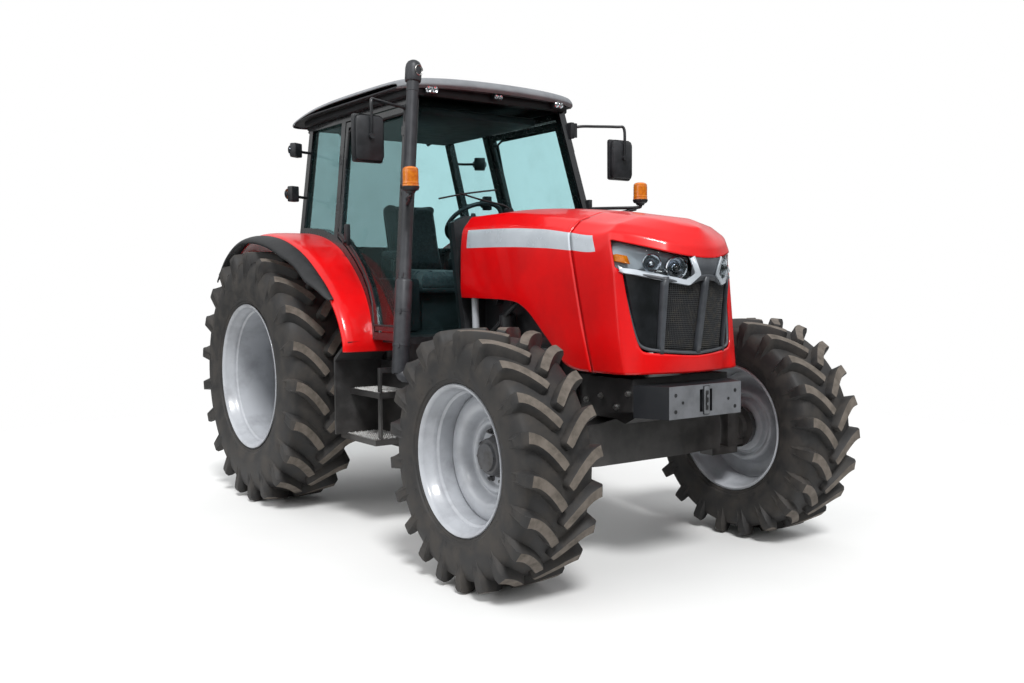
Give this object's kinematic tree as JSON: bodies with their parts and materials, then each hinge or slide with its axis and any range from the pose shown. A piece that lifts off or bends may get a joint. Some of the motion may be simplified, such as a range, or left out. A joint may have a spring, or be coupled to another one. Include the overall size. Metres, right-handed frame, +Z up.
{
  "type": "farm tractor",
  "caption": "Four-wheel-drive farm tractor with a glazed cab, tilting hood, steered front axle, opening doors and a rear three-point linkage.",
  "frame": {"origin": "on the floor, under the middle of the machine's bounding box", "axes": "+Z up, -Y the way it drives (nose), +Y the rear linkage, -X the machine's right-hand side, where the exhaust stands"},
  "size_m": [2.42, 4.4446, 2.8774],
  "materials": {
    "red_paint": "gloss",
    "wheel_silver": "satin",
    "black_paint": "satin",
    "grey_casting": "matte",
    "grey_roof": "satin",
    "tyre_rubber": "matte",
    "black_rubber": "matte",
    "black_plastic": "matte",
    "tinted_glass": "clear",
    "lamp_lens": "gloss",
    "amber_lens": "gloss",
    "bare_steel": "satin",
    "seat_cloth": "matte"
  },
  "bodies": {
    "chassis": {"beacon_left": "amber_lens", "beacon_right": "amber_lens", "cab_floor": "black_paint", "cab_side_left": "black_paint", "cab_side_right": "black_paint", "dashboard": "black_plastic", "drawbar": "bare_steel", "engine_block": "black_paint", "exhaust": "black_paint", "fender_left": "red_paint", "fender_liner_left": "black_plastic", "fender_liner_right": "black_plastic", "fender_lip_left": "black_rubber", "fender_lip_right": "black_rubber", "fender_right": "red_paint", "firewall": "black_plastic", "front_axle_beam": "black_paint", "front_support": "black_paint", "gearbox_housing": "black_paint", "mirror_left": "black_plastic", "mirror_right": "black_plastic", "quarter_glass_left": "tinted_glass", "quarter_glass_right": "tinted_glass", "rear_axle_housing": "black_paint", "rear_wall": "black_paint", "rear_window": "tinted_glass", "roof": "grey_roof", "seat_base": "black_plastic", "seat_cushion": "seat_cloth", "side_tank_left": "black_plastic", "side_tank_right": "black_plastic", "steps_left": "black_paint", "steps_right": "black_paint", "weight_bracket": "grey_casting", "windscreen": "tinted_glass"},
    "hood": {"hood": "red_paint", "grille": "black_plastic", "headlamp_left": "lamp_lens", "headlamp_right": "lamp_lens"},
    "knuckle_right": {"front_knuckle_right": "black_paint"},
    "front_wheel_right": {"front_rim_right": "wheel_silver", "front_tyre_right": "tyre_rubber"},
    "rear_wheel_right": {"rear_rim_right": "wheel_silver", "rear_tyre_right": "tyre_rubber"},
    "door_right": {"door_right": "black_paint", "door_glass_right": "tinted_glass"},
    "lower_link_right": {"lower_link_right": "bare_steel"},
    "lift_rod_right": {"lift_rod_right": "bare_steel"},
    "knuckle_left": {"front_knuckle_left": "black_paint"},
    "front_wheel_left": {"front_rim_left": "wheel_silver", "front_tyre_left": "tyre_rubber"},
    "rear_wheel_left": {"rear_rim_left": "wheel_silver", "rear_tyre_left": "tyre_rubber"},
    "door_left": {"door_left": "black_paint", "door_glass_left": "tinted_glass"},
    "lower_link_left": {"lower_link_left": "bare_steel"},
    "lift_rod_left": {"lift_rod_left": "bare_steel"},
    "lift_arms": {"lift_arms": "black_paint"},
    "steering_wheel": {"steering_wheel": "black_plastic"}
  },
  "joints": [
    {"name": "steer_right", "type": "hinge", "parent": "chassis", "child": "knuckle_right", "pos_m": [-0.76, -1.575, 0.65], "axis": [0, 0, 1], "range_deg": [-40, 40]},
    {"name": "front_wheel_right_spin", "type": "hinge", "parent": "knuckle_right", "child": "front_wheel_right", "pos_m": [-0.965, -1.575, 0.65], "axis": [1, 0, 0], "continuous": true},
    {"name": "rear_wheel_right_spin", "type": "hinge", "parent": "chassis", "child": "rear_wheel_right", "pos_m": [-0.96, 1.125, 0.878], "axis": [1, 0, 0], "continuous": true},
    {"name": "door_right_swing", "type": "hinge", "parent": "chassis", "child": "door_right", "pos_m": [-0.81786, -0.41688, 1.5], "axis": [0.1659, 0.177, 0.9701], "range_deg": [0, 70]},
    {"name": "steer_left", "type": "hinge", "parent": "chassis", "child": "knuckle_left", "pos_m": [0.76, -1.575, 0.65], "axis": [0, 0, 1], "range_deg": [-40, 40]},
    {"name": "front_wheel_left_spin", "type": "hinge", "parent": "knuckle_left", "child": "front_wheel_left", "pos_m": [0.965, -1.575, 0.65], "axis": [1, 0, 0], "continuous": true},
    {"name": "rear_wheel_left_spin", "type": "hinge", "parent": "chassis", "child": "rear_wheel_left", "pos_m": [0.96, 1.125, 0.878], "axis": [1, 0, 0], "continuous": true},
    {"name": "door_left_swing", "type": "hinge", "parent": "chassis", "child": "door_left", "pos_m": [0.81786, -0.41688, 1.5], "axis": [0.1659, -0.177, -0.9701], "range_deg": [0, 70]},
    {"name": "hood_tilt", "type": "hinge", "parent": "chassis", "child": "hood", "pos_m": [0, -0.44, 1.885], "axis": [-1, 0, 0], "range_deg": [0, 50]},
    {"name": "steering_wheel_turn", "type": "hinge", "parent": "chassis", "child": "steering_wheel", "pos_m": [0, 0, 1.93], "axis": [0, 0.6157, 0.788], "continuous": true},
    {"name": "lift", "type": "hinge", "parent": "chassis", "child": "lift_arms", "pos_m": [0, 1.455, 1.095], "axis": [1, 0, 0], "range_deg": [-25, 40]},
    {"name": "lower_link_right_lift", "type": "hinge", "parent": "chassis", "child": "lower_link_right", "pos_m": [-0.3253, 1.425, 0.52], "axis": [1, 0, 0], "range_deg": [-17.5, 28]},
    {"name": "lift_rod_right_swing", "type": "hinge", "parent": "lift_arms", "child": "lift_rod_right", "pos_m": [-0.3035, 1.76, 1.19], "axis": [1, 0, 0], "range_deg": [-36, 23]},
    {"name": "lower_link_left_lift", "type": "hinge", "parent": "chassis", "child": "lower_link_left", "pos_m": [0.3253, 1.425, 0.52], "axis": [1, 0, 0], "range_deg": [-17.5, 28]},
    {"name": "lift_rod_left_swing", "type": "hinge", "parent": "lift_arms", "child": "lift_rod_left", "pos_m": [0.3035, 1.76, 1.19], "axis": [1, 0, 0], "range_deg": [-36, 23]}
  ],
  "couplings": [
    {"joint": "steer_left", "follows": "steer_right", "ratio": 1},
    {"joint": "lower_link_right_lift", "follows": "lift", "ratio": 0.68},
    {"joint": "lift_rod_right_swing", "follows": "lift", "ratio": -0.88},
    {"joint": "lower_link_left_lift", "follows": "lift", "ratio": 0.68},
    {"joint": "lift_rod_left_swing", "follows": "lift", "ratio": -0.88}
  ]
}
